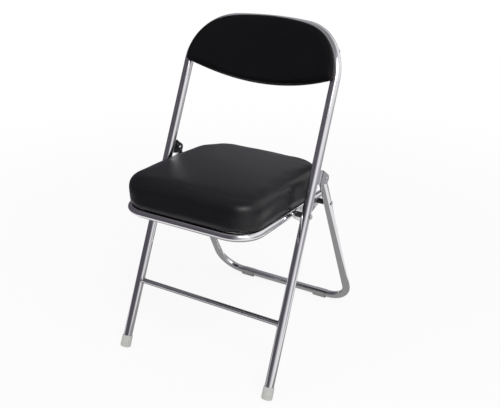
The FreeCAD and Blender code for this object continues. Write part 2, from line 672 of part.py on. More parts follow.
# Seat board and its tabs and screws
seat_top = S["seat_tube_diameter"] / 2
tab_x = seat_half_width - S["tab_reach"]
tabs = []
seat_screws = []
seat_screw_bores = []
for n, along in enumerate((-S["tab_spacing"], S["tab_spacing"])):
    blank = bind(
        doc.addObject("Part::Box", f"seat_tab_blank{n}"),
        Length="Sizes.tab_reach", Width="Sizes.tab_length", Height="Sizes.tab_sheet",
    )
    tab_corner = in_seat(tab_x, along - S["tab_length"] / 2, seat_top - S["tab_sheet"])
    blank.Placement = Placement(tab_corner, SEAT_TURN)
    screw_seat = in_seat(tab_x + S["screw_head"] * SCREW_INSET, along, seat_top - S["tab_sheet"])
    screw = headed(
        f"seat_screw{n}", "Sizes.screw_head", "Sizes.screw_head_height", "Sizes.screw_diameter",
        "Sizes.tab_sheet + Sizes.screw_bite", screw_seat, SEAT_UP,
    )
    bore = cylinder(
        f"seat_screw_bore{n}", "Sizes.screw_diameter / 2 + Sizes.running_gap",
        "Sizes.tab_sheet + Sizes.screw_bite + Sizes.running_gap", screw_seat, SEAT_UP,
    )
    tab = cut(f"seat_tab{n}", blank, seat_round, bore)
    tabs += [tab, mirrored(tab, f"seat_tab_twin{n}")]
    seat_screws += [screw, mirrored(screw, f"seat_screw_twin{n}")]
    seat_screw_bores += [bore, mirrored(bore, f"seat_screw_bore_twin{n}")]
keep(group("seat_tab_set", *tabs), "seat_tabs")
keep(group("seat_screw_set", *seat_screws), "seat_screws")


def plan_outline(name, inset, height):
    """The seat's rounded outline in plan, drawn in from the cushion's widest line, at a height."""
    shrink = (cushion_half_width - inset) / cushion_half_width
    half = cushion_half_width - inset
    front = inset - S["cushion_front"]
    back = S["cushion_rear"] - inset
    front_radius = S["cushion_front_radius"] * shrink
    rear_radius = S["cushion_rear_radius"] * shrink
    diagonal = 1 - math.sqrt(0.5)
    front_corner = [(half, front + front_radius), (half - front_radius, front)]
    rear_corner = [(half - rear_radius, back), (half, back - rear_radius)]
    front_middle = (half - front_radius * diagonal, front + front_radius * diagonal)
    rear_middle = (half - rear_radius * diagonal, back - rear_radius * diagonal)

    def at(spot, side):
        return in_seat(side * spot[0], spot[1], height)

    return wire(name, [
        line(at(rear_corner[1], 1), at(front_corner[0], 1)),
        arc(at(front_corner[0], 1), at(front_middle, 1), at(front_corner[1], 1)),
        line(at(front_corner[1], 1), at(front_corner[1], -1)),
        arc(at(front_corner[1], -1), at(front_middle, -1), at(front_corner[0], -1)),
        line(at(front_corner[0], -1), at(rear_corner[1], -1)),
        arc(at(rear_corner[1], -1), at(rear_middle, -1), at(rear_corner[0], -1)),
        line(at(rear_corner[0], -1), at(rear_corner[0], 1)),
        arc(at(rear_corner[0], 1), at(rear_middle, 1), at(rear_corner[1], 1)),
    ])


def slab(name, outline, direction, height):
    """A solid raised from an outline."""
    raised = doc.addObject("Part::Extrusion", name)
    raised.Base = outline
    raised.DirMode = "Custom"
    raised.Dir = direction
    raised.Solid = True
    return bind(raised, LengthFwd=height)


board_edge = S["cushion_draw_in"] + S["board_inset"]
board_blank = slab(
    "seat_board_blank", plan_outline("seat_board_outline", board_edge, seat_top),
    SEAT_UP, "Sizes.board_thickness",
)
keep(cut("seat_board", board_blank, group("seat_screw_bores", *seat_screw_bores)), "seat_board")

# Seat cushion: drawn in at its lower edge, bulging at the sides, domed on top with a round rim
cushion_levels = [
    (S["cushion_draw_in"], 0.0),
    (0.0, BULGE_HEIGHT * S["cushion_side"]),
    (0.0, BLOCK_HEIGHT * S["cushion_side"]),
]
cushion_block = doc.addObject("Part::Loft", "seat_cushion_block")
cushion_block.Sections = [
    plan_outline(f"seat_cushion_level{n}", inset, seat_top + height)
    for n, (inset, height) in enumerate(cushion_levels)
]
cushion_block.Solid = True
dome_radius = (cushion_half_width ** 2 + S["cushion_crown"] ** 2) / (2 * S["cushion_crown"])
dome_depth = dome_radius - S["cushion_side"] - S["cushion_crown"]
cushion_dome = bind(doc.addObject("Part::Sphere", "seat_cushion_dome"), Radius=str(dome_radius))
cushion_dome.Placement.Base = in_seat(0, (S["cushion_rear"] - S["cushion_front"]) / 2, seat_top - dome_depth)


def is_cushion_rim(edge):
    """True for the edges where the cushion's dome meets its sides."""
    heights = [SEAT_FRAME.inverse().multVec(vertex.Point).z for vertex in edge.Vertexes]
    return min(heights) > seat_top + RIM_HEIGHT * S["cushion_side"] and len(edge.Vertexes) == 2


cushion_form = rounded(
    "seat_cushion_form", common("seat_cushion_domed", cushion_block, cushion_dome),
    S["cushion_edge_radius"], is_cushion_rim,
)
recess = slab(
    "seat_cushion_recess", plan_outline("seat_recess_outline", board_edge - S["side_gap"], seat_top),
    SEAT_UP, "Sizes.board_thickness",
)
keep(cut("seat_cushion", cushion_form, recess), "seat_cushion")


# Backrest: a bowed board in front of the arch, and its pad
def back_outline():
    """Three-centred arch over a sagging lower edge, drawn well in front of the frame."""
    half = back_half_width
    corner = S["back_corner_radius"]
    top = S["back_top_radius"]
    top_centre = S["back_top"] - top
    centre_x = half - corner
    centre_along = top_centre + math.sqrt((top - corner) ** 2 - centre_x ** 2)
    meet = math.atan2(centre_along - top_centre, centre_x)
    ahead = -back_half_width / 2

    def spot(x, along):
        return on_frame(x, along, ahead)

    def on_corner(angle, side):
        return spot(side * (centre_x + corner * math.cos(angle)), centre_along + corner * math.sin(angle))

    tip = S["back_tip"]
    return wire("backrest_outline", [
        line(spot(half, tip), on_corner(0, 1)),
        arc(on_corner(0, 1), on_corner(meet / 2, 1), on_corner(meet, 1)),
        arc(on_corner(meet, 1), spot(0, S["back_top"]), on_corner(meet, -1)),
        arc(on_corner(meet, -1), on_corner(meet / 2, -1), on_corner(0, -1)),
        line(on_corner(0, -1), spot(-half, tip)),
        arc(spot(-half, tip), spot(0, tip - S["back_sag"]), spot(half, tip)),
    ])


def bowed(name, middle, edge, inside=0.0):
    """A solid in front of a face that bows across the chair, given behind the legs at middle and edge."""
    hollow = middle - edge
    radius = (back_half_width ** 2 + hollow ** 2) / (2 * hollow)
    start = on_frame(0, S["back_tip"] - 2 * S["back_sag"], middle - radius)
    return cylinder(name, str(radius - inside), 2 * (S["back_top"] - S["back_tip"]), start, UP_FRAME)


def is_tip(edge):
    """True for the two edges at the backrest's lower corners."""
    along = [(vertex.Point - on_frame(0, 0)).dot(UP_FRAME) for vertex in edge.Vertexes]
    is_low = max(along) < S["back_tip"] + S["running_gap"]
    is_level = abs(along[0] - along[-1]) < S["running_gap"]
    is_square = abs(edge.Vertexes[0].X - edge.Vertexes[-1].X) < S["running_gap"]
    return is_low and is_level and is_square


back_edge = -(S["tube_diameter"] / 2 + S["back_standoff"])
back_middle = back_edge + S["back_bow"]
pad_edge = back_edge - S["back_board"] - S["back_pad_edge"]
pad_middle = back_middle - S["back_board"] - S["back_pad_middle"]
back_prism = rounded(
    "backrest_prism",
    slab("backrest_blank", back_outline(), BACK_FRAME, str(back_half_width)),
    S["back_tip_radius"], is_tip,
)
rear_face = bowed("backrest_rear_face", back_middle, back_edge)
board_face = bowed("backrest_board_face", back_middle, back_edge, S["back_board"])
front_face = bowed("backrest_front_face", pad_middle, pad_edge)
back_board = common("backrest_board_form", back_prism, cut("backrest_board_shell", rear_face, board_face))
keep(cut("backrest_board", back_board, frame_round, screw_bore_set), "backrest_board")
pad_block = common("backrest_pad_block", back_prism, cut("backrest_pad_shell", board_face, front_face))


def is_pad_rim(edge):
    """True for the edges round the pad's front face."""
    middle = edge.valueAt((edge.FirstParameter + edge.LastParameter) / 2)
    axis = front_face.Placement.Base
    out = middle - axis
    out = out - UP_FRAME * out.dot(UP_FRAME)
    return abs(out.Length - front_face.Radius.Value) < S["running_gap"]


keep(rounded("backrest_pad_form", pad_block, S["back_pad_round"], is_pad_rim), "backrest_pad")

# Writing out, once every object and every sub-part's shape is sound
doc.recompute()
faults = [item.Name for item in doc.Objects if {"Invalid", "Error"} & set(item.State)]
faults += [item.Label for item in pieces if item.Shape.isNull() or not item.Shape.isValid()]
if faults:
    raise RuntimeError(f"unsound: {faults}")
os.makedirs("parts", exist_ok=True)
for item in pieces:
    item.Shape.exportStep(f"parts/{item.Label}.step")
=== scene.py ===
# %% [markdown]
# # A folding chair of chromed tube
# This lesson dresses a measured model of a padded folding chair. The steel parts arrive as
# finished solids and only need their finishes. The seat cushion and the back pad arrive as
# plain solids too, but foam under vinyl is never that stiff, so they are made again here.

# %% Load the measured parts
import json
import math

import bmesh
import bpy
from mathutils import Matrix, Vector, noise


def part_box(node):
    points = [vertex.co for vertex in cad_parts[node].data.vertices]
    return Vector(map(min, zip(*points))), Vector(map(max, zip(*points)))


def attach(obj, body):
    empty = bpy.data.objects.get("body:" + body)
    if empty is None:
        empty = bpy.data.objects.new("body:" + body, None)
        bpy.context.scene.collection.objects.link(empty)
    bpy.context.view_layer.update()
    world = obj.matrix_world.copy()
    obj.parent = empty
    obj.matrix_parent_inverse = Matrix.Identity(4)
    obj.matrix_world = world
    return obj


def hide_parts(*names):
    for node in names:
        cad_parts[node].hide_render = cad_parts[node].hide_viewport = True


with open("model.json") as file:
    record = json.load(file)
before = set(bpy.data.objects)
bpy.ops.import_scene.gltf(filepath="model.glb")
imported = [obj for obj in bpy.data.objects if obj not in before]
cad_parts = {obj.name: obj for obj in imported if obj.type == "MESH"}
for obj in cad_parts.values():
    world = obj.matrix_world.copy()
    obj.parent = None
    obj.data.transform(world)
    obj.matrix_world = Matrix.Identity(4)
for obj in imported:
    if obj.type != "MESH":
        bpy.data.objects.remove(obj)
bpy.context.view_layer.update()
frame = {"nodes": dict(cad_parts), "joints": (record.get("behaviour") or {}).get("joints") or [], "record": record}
nodes = frame["nodes"]
scene = bpy.context.scene
scene.view_settings.view_transform = "Standard"
print("parts:", len(nodes))

# %% [markdown]
# ## Camera
# The picture was taken from the chair's front corner, a little above the backrest. A camera
# could be aimed with a Track To constraint, but writing its three axes by hand keeps the
# angle exactly where it was measured, and nothing moves it later.

# %% Camera
CAMERA_PLACE = Vector((0.86781, -1.44578, 1.13976))
CAMERA_AZIMUTH = math.radians(30.16)
CAMERA_HEIGHT = math.radians(24.96)
FOCAL_LENGTH = 54.6
SENSOR_WIDTH = 36.0

camera = bpy.data.objects.new("camera", bpy.data.cameras.new("camera"))
camera.data.lens = FOCAL_LENGTH
camera.data.sensor_fit = "HORIZONTAL"
camera.data.sensor_width = SENSOR_WIDTH
right = Vector((math.cos(CAMERA_AZIMUTH), math.sin(CAMERA_AZIMUTH), 0))
back = Vector((
    math.sin(CAMERA_AZIMUTH) * math.cos(CAMERA_HEIGHT),
    -math.cos(CAMERA_AZIMUTH) * math.cos(CAMERA_HEIGHT),
    math.sin(CAMERA_HEIGHT),
))
turn = Matrix((right, back.cross(right), back)).transposed()
camera.matrix_world = Matrix.Translation(CAMERA_PLACE) @ turn.to_4x4()
scene.collection.objects.link(camera)
scene.camera = camera
print("camera aims along", [round(v, 3) for v in -back])

# %% [markdown]
# ## Two small helpers for finishes
# A colour is written as the hex value a paint program shows. Blender mixes light in linear
# numbers, so one function converts it. A second one adds a shader node, sets its options and
# joins its inputs, which keeps each finish short enough to read as a recipe.

# %% Colour and node helpers
def tint(code):
    """Linear colour of an sRGB hex value."""
    parts = [int(code[n:n + 2], 16) / 255 for n in (1, 3, 5)]
    linear = [v / 12.92 if v <= 0.04045 else ((v + 0.055) / 1.055) ** 2.4 for v in parts]
    return (*linear, 1.0)


def add(tree, kind, inputs=(), **settings):
    """A new node. Each input is a plain value or another node's output socket."""
    made = tree.nodes.new(kind)
    for name, value in settings.items():
        setattr(made, name, value)
    for name, value in dict(inputs).items():
        if isinstance(value, bpy.types.NodeSocket):
            tree.links.new(value, made.inputs[name])
        else:
            made.inputs[name].default_value = value
    return made


def finish(name):
    """An empty material with its tree, its place coordinates and its output node."""
    material = bpy.data.materials.new(name)
    material.use_nodes = True
    tree = material.node_tree
    tree.nodes.clear()
    place = add(tree, "ShaderNodeTexCoord").outputs["Object"]
    return material, tree, place, add(tree, "ShaderNodeOutputMaterial")


MILLIMETRE = 0.001


def per_metre(millimetres):
    """Texture scale that gives features of a size in millimetres."""
    return 1 / (millimetres * MILLIMETRE)


print("white is", tint("#FFFFFF"))

# %% [markdown]
# ## Chromed steel
# The tubes are drawn steel, polished and plated with nickel and chrome. A mirror finish has
# almost no colour of its own, so what the eye sees is the room. Roughness could be one
# number, but a used tube has a thin uneven haze from hands, so a noise varies it slightly.

# %% Chrome plate
HAZE_SIZE = 35
RIPPLE_SIZE = 60

chrome, tree, place, output = finish("polished_chrome_plate")
haze = add(tree, "ShaderNodeTexNoise", {"Vector": place, "Scale": per_metre(HAZE_SIZE), "Detail": 4.0})
rough = add(tree, "ShaderNodeMapRange", {"Value": haze.outputs["Fac"], "To Min": 0.05, "To Max": 0.13})
plate = add(tree, "ShaderNodeMix", {
    "Factor": haze.outputs["Fac"], "A": tint("#D9D8DC"), "B": tint("#E8E7EA"),
}, data_type="RGBA")
ripple = add(tree, "ShaderNodeTexNoise", {"Vector": place, "Scale": per_metre(RIPPLE_SIZE), "Detail": 1.0})
bump = add(tree, "ShaderNodeBump", {"Height": ripple.outputs["Fac"], "Strength": 0.15, "Distance": 0.0008})
metal = add(tree, "ShaderNodeBsdfPrincipled", {
    "Base Color": plate.outputs["Result"], "Metallic": 1.0, "Roughness": rough.outputs["Result"],
    "Normal": bump.outputs["Normal"],
})
tree.links.new(metal.outputs["BSDF"], output.inputs["Surface"])
print("made", chrome.name)

# %% [markdown]
# ## Small metal parts
# Brackets, lugs, links and tabs are pressed steel sheet under a plain nickel plate, and so is
# the thin stretcher: greyer and less bright than the legs. Bolts, nuts, rivets and screws are
# zinc plated, duller still, with a fine crystal pattern that changes the gloss a little.

# %% Zinc and nickel
SPANGLE_SIZE = 2.5

zinc, tree, place, output = finish("zinc_plated_steel")
spangle = add(tree, "ShaderNodeTexVoronoi", {"Vector": place, "Scale": per_metre(SPANGLE_SIZE)})
tone = add(tree, "ShaderNodeMix", {
    "Factor": spangle.outputs["Distance"], "A": tint("#A9ABAC"), "B": tint("#C4C5C4"),
}, data_type="RGBA")
rough = add(tree, "ShaderNodeMapRange", {"Value": spangle.outputs["Distance"], "To Min": 0.24, "To Max": 0.4})
metal = add(tree, "ShaderNodeBsdfPrincipled", {
    "Base Color": tone.outputs["Result"], "Metallic": 1.0, "Roughness": rough.outputs["Result"],
})
tree.links.new(metal.outputs["BSDF"], output.inputs["Surface"])

grey_plate, tree, place, output = finish("grey_nickel_plate")
haze = add(tree, "ShaderNodeTexNoise", {"Vector": place, "Scale": per_metre(HAZE_SIZE), "Detail": 4.0})
rough = add(tree, "ShaderNodeMapRange", {"Value": haze.outputs["Fac"], "To Min": 0.16, "To Max": 0.28})
plate = add(tree, "ShaderNodeMix", {
    "Factor": haze.outputs["Fac"], "A": tint("#CDCCCF"), "B": tint("#DCDBDE"),
}, data_type="RGBA")
metal = add(tree, "ShaderNodeBsdfPrincipled", {
    "Base Color": plate.outputs["Result"], "Metallic": 1.0, "Roughness": rough.outputs["Result"],
})
tree.links.new(metal.outputs["BSDF"], output.inputs["Surface"])
print("made", zinc.name, grey_plate.name)

# %% [markdown]
# ## Plastics and board
# The foot caps are pale moulded polyethylene, a waxy plastic with soft highlights. The
# rear glides are the same plastic in grey, and plugs and spacers in black. The seat and back
# boards are pressed hardboard, brown-black, with short fibres that show as a fine mottle.

# %% Polyethylene and hardboard
MOULD_GRAIN = 1.2
SCUFF_SIZE = 9
FIBRE_WIDTH = 1.5


def moulded(name, low, high):
    """Moulded polyethylene between two tones."""
    material, tree, place, output = finish(name)
    grain = add(tree, "ShaderNodeTexNoise", {"Vector": place, "Scale": per_metre(MOULD_GRAIN), "Detail": 2.0})
    scuff = add(tree, "ShaderNodeTexNoise", {"Vector": place, "Scale": per_metre(SCUFF_SIZE), "Detail": 4.0})
    bump = add(tree, "ShaderNodeBump", {"Height": grain.outputs["Fac"], "Strength": 0.15, "Distance": 0.0002})
    shade = add(tree, "ShaderNodeMix", {
        "Factor": scuff.outputs["Fac"], "A": tint(low), "B": tint(high),
    }, data_type="RGBA")
    plastic = add(tree, "ShaderNodeBsdfPrincipled", {
        "Base Color": shade.outputs["Result"], "Roughness": 0.42, "IOR": 1.51,
        "Normal": bump.outputs["Normal"],
    })
    tree.links.new(plastic.outputs["BSDF"], output.inputs["Surface"])
    return material


pale_plastic = moulded("pale_polyethylene", "#B9B9B6", "#CACAC7")
grey_plastic = moulded("grey_polyethylene", "#8E8E8C", "#A3A3A1")
dark_plastic = moulded("black_polyethylene", "#1B1B1D", "#29292B")

hardboard, tree, place, output = finish("pressed_hardboard")
fibre = add(tree, "ShaderNodeTexNoise", {
    "Vector": place, "Scale": per_metre(FIBRE_WIDTH), "Detail": 6.0, "Distortion": 1.5,
})
shade = add(tree, "ShaderNodeMix", {
    "Factor": fibre.outputs["Fac"], "A": tint("#17130F"), "B": tint("#2A231D"),
}, data_type="RGBA")
bump = add(tree, "ShaderNodeBump", {"Height": fibre.outputs["Fac"], "Strength": 0.3, "Distance": 0.0003})
panel = add(tree, "ShaderNodeBsdfPrincipled", {
    "Base Color": shade.outputs["Result"], "Roughness": 0.7, "Normal": bump.outputs["Normal"],
})
tree.links.new(panel.outputs["BSDF"], output.inputs["Surface"])
print("made", pale_plastic.name, dark_plastic.name, hardboard.name)

# %% [markdown]
# ## Vinyl
# The covers are PVC leathercloth: a soft skin embossed with a fine pebble grain. The grain
# cells are about a millimetre across on the real cloth, too fine for this picture, so they
# are drawn twice as coarse. A Voronoi texture gives the pebbles and the valleys between
# them, and the valleys are painted darker as shade; a slow noise changes the gloss where the skin is stretched or
# rubbed.

# %% Leathercloth
GRAIN_SIZE = 2.2
GRAIN_DRIFT = 0.0012
RUB_SIZE = 70


def leathercloth(name, low, high, smooth, dull, gloss):
    """Embossed PVC cloth between two tones, with roughness from smooth to dull and a gloss level."""
    material, tree, place, output = finish(name)
    wobble = add(tree, "ShaderNodeTexNoise", {"Vector": place, "Scale": per_metre(GRAIN_SIZE), "Detail": 1.0})
    drift = add(tree, "ShaderNodeVectorMath", {
        0: wobble.outputs["Color"], 1: (GRAIN_DRIFT,) * 3,
    }, operation="MULTIPLY")
    bent = add(tree, "ShaderNodeVectorMath", {0: place, 1: drift.outputs["Vector"]}, operation="ADD")
    pebble = add(tree, "ShaderNodeTexVoronoi", {
        "Vector": bent.outputs["Vector"], "Scale": per_metre(GRAIN_SIZE), "Smoothness": 0.6,
    }, feature="SMOOTH_F1")
    rub = add(tree, "ShaderNodeTexNoise", {"Vector": place, "Scale": per_metre(RUB_SIZE), "Detail": 5.0})
    shade = add(tree, "ShaderNodeMix", {
        "Factor": rub.outputs["Fac"], "A": tint(low), "B": tint(high),
    }, data_type="RGBA")
    # Painted shade: the valleys between the pebbles are darkened in the colour itself.
    valley_shade = add(tree, "ShaderNodeMapRange", {
        "Value": pebble.outputs["Distance"], "To Min": 1.0, "To Max": 0.7,
    })
    skin = add(tree, "ShaderNodeMix", {
        "Factor": 1.0, "A": shade.outputs["Result"], "B": valley_shade.outputs["Result"],
    }, data_type="RGBA", blend_type="MULTIPLY")
    rough = add(tree, "ShaderNodeMapRange", {"Value": rub.outputs["Fac"], "To Min": smooth, "To Max": dull})
    bump = add(tree, "ShaderNodeBump", {
        "Height": pebble.outputs["Distance"], "Strength": 0.25, "Distance": 0.0003,
    }, invert=True)
    cloth = add(tree, "ShaderNodeBsdfPrincipled", {
        "Base Color": skin.outputs["Result"], "Roughness": rough.outputs["Result"], "IOR": 1.52,
        "Specular IOR Level": gloss, "Normal": bump.outputs["Normal"],
    })
    tree.links.new(cloth.outputs["BSDF"], output.inputs["Surface"])
    return material


seat_vinyl = leathercloth("charcoal_leathercloth", "#111013", "#17161A", 0.28, 0.4, 0.3)
back_vinyl = leathercloth("black_leathercloth", "#0A090B", "#0F0D11", 0.5, 0.62, 0.1)
print("made", seat_vinyl.name, back_vinyl.name)

# %% [markdown]
# ## Dressing the solids
# Every solid keeps its shape and only gets its finish. The record already names a finish for
# each part, so one table from those names to the materials is enough.

# %% Finishes on the solids
FINISHES = {
    "chrome": chrome, "plated_sheet": grey_plate, "zinc_steel": zinc, "pale_plastic": pale_plastic,
    "grey_plastic": grey_plastic, "dark_plastic": dark_plastic, "board": hardboard,
    "seat_vinyl": seat_vinyl, "back_vinyl": back_vinyl,
}


def dress(obj, material):
    """Puts one finish on the whole of an object."""
    obj.data.materials.clear()
    obj.data.materials.append(material)


for row in frame["record"]["subparts"]:
    dress(nodes[row["node"]], FINISHES[row["material_slot"]])

# %% [markdown]
# ## Foam that swells under its cover
# A cushion is foam squeezed under a tight skin. Shaping it by hand never gives the soft
# corners that air and foam give, so a cloth simulation inflates the plain solid: a voxel
# remesh makes even quads, pressure pushes them out, and a cap keeps every point within a few
# millimetres of where it began. Points that rest on the board are pinned and stay flat.

# %% Cloth helpers
SIM_FRAMES = 20
PRESSURE = 4.0
MERGE = 0.00001


def put(name, mesh, body, material):
    """Makes an object of a mesh, dresses it and lets it ride on a body."""
    obj = bpy.data.objects.new(name, mesh)
    scene.collection.objects.link(obj)
    dress(obj, material)
    for face in mesh.polygons:
        face.use_smooth = True
    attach(obj, body)
    return obj


def baked(obj):
    """The object's mesh with its modifiers worked in."""
    graph = bpy.context.evaluated_depsgraph_get()
    return bpy.data.meshes.new_from_object(obj.evaluated_get(graph))


def even(mesh, voxel):
    """The same closed form in even quads."""
    work = bpy.data.objects.new("form", mesh)
    scene.collection.objects.link(work)
    grid = work.modifiers.new("grid", "REMESH")
    grid.mode = "VOXEL"
    grid.voxel_size = voxel
    result = baked(work)
    bpy.data.objects.remove(work)
    return result


def swell(mesh, cap, held):
    """Inflates a closed form. Held points stay, and the others move no further than the cap."""
    work = bpy.data.objects.new("foam", mesh)
    scene.collection.objects.link(work)
    pins = work.vertex_groups.new(name="held")
    pins.add([v.index for v in mesh.vertices if held(v)], 1.0, "REPLACE")
    start = [v.co.copy() for v in mesh.vertices]
    cloth = work.modifiers.new("cloth", "CLOTH")
    cloth.settings.use_pressure = True
    cloth.settings.uniform_pressure_force = PRESSURE
    cloth.settings.effector_weights.gravity = 0
    cloth.settings.vertex_group_mass = "held"
    cloth.point_cache.frame_end = SIM_FRAMES
    for step in range(1, SIM_FRAMES + 1):
        scene.frame_set(step)
    result = baked(work)
    bpy.data.objects.remove(work)
    scene.frame_set(1)
    furthest = 0.0
    for vertex, origin in zip(result.vertices, start):
        move = vertex.co - origin
        if move.length > cap:
            vertex.co = origin + move.normalized() * cap
        furthest = max(furthest, (vertex.co - origin).length)
    print("swelled by up to", round(furthest * 1000, 1), "mm")
    return result


def welded(node):
    """A merged copy of a solid's mesh."""
    form = bmesh.new()
    form.from_mesh(nodes[node].data)
    bmesh.ops.remove_doubles(form, verts=form.verts, dist=MERGE)
    return form


print("cloth runs", SIM_FRAMES, "frames")

# %% [markdown]
# ## Seat cushion
# The seat is a thick foam pad on a board, covered in charcoal leathercloth that is pulled
# down over the edge and held under the board. It starts from the outside of the plain solid,
# a convex hull, made a little larger because the smoothing after the swelling draws it in.
# The tug of the cover shows as soft upright folds round the corners. Folded, the links'
# rivets pass close by, so the width is drawn in to the room between them. The board's place
# is cut out at the end with a Boolean; both forms are closed, and the Manifold solver is the
# one made for that.

# %% Seat cushion
CUSHION_VOXEL = 0.005
CUSHION_CAP = 0.0025
CUSHION_START = Vector((1.02, 1.021, 1.08))
BOARD_ROOM = 0.997
SEAT_TILT = math.radians(4.5)
SEAT_NORMAL = Vector((0, math.sin(SEAT_TILT), math.cos(SEAT_TILT)))
CUT_DEPTH = 0.004
CUSHION_EASE = 6
EASE_SHARE = 0.5
FOLD_HEIGHT = 0.0006
FOLD_SPACING = 0.022
FOLD_DRAW = 0.18
CORNER_REACH = 0.085
TOP_CALM = 1.4
SIDE_SWELL = 0.001
FACES_DOWN = -0.7


def hull_of(node, factor, down=0.0):
    """The outside of a solid as one convex mesh, drawn down, then scaled about its underside."""
    form = welded(node)
    bmesh.ops.delete(form, geom=form.edges[:], context="EDGES_FACES")
    copied = bmesh.ops.duplicate(form, geom=form.verts[:])["geom"]
    lower = [v for v in copied if isinstance(v, bmesh.types.BMVert)]
    bmesh.ops.translate(form, vec=SEAT_NORMAL * -down, verts=lower)
    bmesh.ops.remove_doubles(form, verts=form.verts, dist=MERGE)
    made = bmesh.ops.convex_hull(form, input=form.verts)
    inner = made["geom_interior"] + made["geom_unused"]
    spare = {v for v in inner if isinstance(v, bmesh.types.BMVert)}
    bmesh.ops.delete(form, geom=list(spare), context="VERTS")
    low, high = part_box(node)
    centre = Vector(((low[0] + high[0]) / 2, (low[1] + high[1]) / 2, low[2]))
    bmesh.ops.scale(form, vec=factor, verts=form.verts, space=Matrix.Translation(-centre))
    bmesh.ops.recalc_face_normals(form, faces=form.faces)
    mesh = bpy.data.meshes.new(node)
    form.to_mesh(mesh)
    form.free()
    return mesh


def rests_below(vertex):
    """True where the cushion lies on the board or the seat tube."""
    return vertex.normal.z < FACES_DOWN


cushion_low, cushion_high = (Vector(v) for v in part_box("seat_cushion"))
cushion = swell(even(hull_of("seat_cushion", CUSHION_START), CUSHION_VOXEL), CUSHION_CAP, rests_below)

form = bmesh.new()
form.from_mesh(cushion)
form.normal_update()
loose = [v for v in form.verts if not rests_below(v)]
for step in range(CUSHION_EASE):
    bmesh.ops.smooth_vert(
        form, verts=loose, factor=EASE_SHARE, use_axis_x=True, use_axis_y=True, use_axis_z=True,
    )
form.normal_update()
for vertex in form.verts:
    x, y, z = vertex.co
    corner = max(abs(abs(x) - cushion_high.x), min(abs(y - cushion_low.y), abs(y - cushion_high.y)))
    tug = max(0.0, 1 - corner / CORNER_REACH) * max(0.0, 1 - abs(vertex.normal.z) * TOP_CALM)
    wave = noise.noise(Vector((x, y, z * FOLD_DRAW)) / FOLD_SPACING)
    vertex.co += vertex.normal * wave * tug * FOLD_HEIGHT
widest = max(abs(vertex.co.x) for vertex in form.verts)
bmesh.ops.scale(form, vec=((cushion_high.x + SIDE_SWELL) / widest, 1, 1), verts=form.verts)
print("half width drawn in from", round(widest, 4))
form.to_mesh(cushion)
form.free()

board_form = hull_of("seat_board", Vector((BOARD_ROOM, BOARD_ROOM, 1)), CUT_DEPTH)
cutter = bpy.data.objects.new("board_room", board_form)
scene.collection.objects.link(cutter)
work = bpy.data.objects.new("cushion_work", cushion)
scene.collection.objects.link(work)
hollow = work.modifiers.new("hollow", "BOOLEAN")
hollow.operation = "DIFFERENCE"
hollow.solver = "MANIFOLD"
hollow.object = cutter
seat_cushion = put("vinyl_seat_cushion", baked(work), "seat", seat_vinyl)
bpy.data.objects.remove(work)
bpy.data.objects.remove(cutter)
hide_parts("seat_cushion")
print("cushion faces:", len(seat_cushion.data.polygons))

# %% [markdown]
# ## Back pad
# The backrest is a thinner pad on a bowed board, under a duller black leathercloth. It is
# made the same way, but it is hollow towards the sitter, so a hull would fill it: the remesh
# works straight on a merged copy of the solid. Its rear face lies on the board and is pinned.

# %% Back pad
PAD_VOXEL = 0.0028
PAD_CAP = 0.0022
FACES_BACK = 0.55


def rests_behind(vertex):
    """True where the pad lies on its board."""
    return vertex.normal.y > FACES_BACK


form = welded("backrest_pad")
pad_mesh = bpy.data.meshes.new("pad_form")
form.to_mesh(pad_mesh)
form.free()
pad = swell(even(pad_mesh, PAD_VOXEL), PAD_CAP, rests_behind)
back_pad = put("vinyl_back_pad", pad, "front_frame", back_vinyl)
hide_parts("backrest_pad")
for piece in (seat_cushion, back_pad):
    fine = piece.modifiers.new("fine", "SUBSURF")
    fine.levels = 1
    fine.render_levels = 1
print("pad faces:", len(back_pad.data.polygons))

# %% [markdown]
# ## Dust cover
# Under the seat, a black spunbond cloth hides the board and the raw edge of the cover. It is
# thin, only roughly stretched, and held by a row of wire staples. A grid gives enough points
# for its slack waves, and a Solidify modifier gives the sheet its thickness. Spunbond is
# pressed between hot rollers, so it carries a lattice of little weld points.

# %% Dust cover
LATTICE_SPACING = 3.0
FUZZ_SIZE = 0.8
COVER_HALF_WIDTH = 0.138
COVER_FRONT = -0.176
COVER_REAR = 0.15
COVER_THICKNESS = 0.0006
COVER_GAP = 0.0003
COVER_SLACK = 0.0016
WAVE_LENGTH = 0.07
WAVE_SLICE = 0.3
COVER_COLUMNS = 46
COVER_ROWS = 54
BOARD_UNDERSIDE = 0.0095

spunbond, tree, place, output = finish("black_spunbond")
lattice = add(tree, "ShaderNodeTexVoronoi", {
    "Vector": place, "Scale": per_metre(LATTICE_SPACING), "Randomness": 0.15,
})
fuzz = add(tree, "ShaderNodeTexNoise", {"Vector": place, "Scale": per_metre(FUZZ_SIZE), "Detail": 3.0})
tone = add(tree, "ShaderNodeMix", {
    "Factor": lattice.outputs["Distance"], "A": tint("#0E0E0F"), "B": tint("#29292B"),
}, data_type="RGBA")
height = add(tree, "ShaderNodeMath", {
    0: lattice.outputs["Distance"], 1: fuzz.outputs["Fac"],
}, operation="ADD")
bump = add(tree, "ShaderNodeBump", {"Height": height.outputs["Value"], "Strength": 0.4, "Distance": 0.0004})
cloth = add(tree, "ShaderNodeBsdfPrincipled", {
    "Base Color": tone.outputs["Result"], "Roughness": 0.85, "Normal": bump.outputs["Normal"],
})
tree.links.new(cloth.outputs["BSDF"], output.inputs["Surface"])

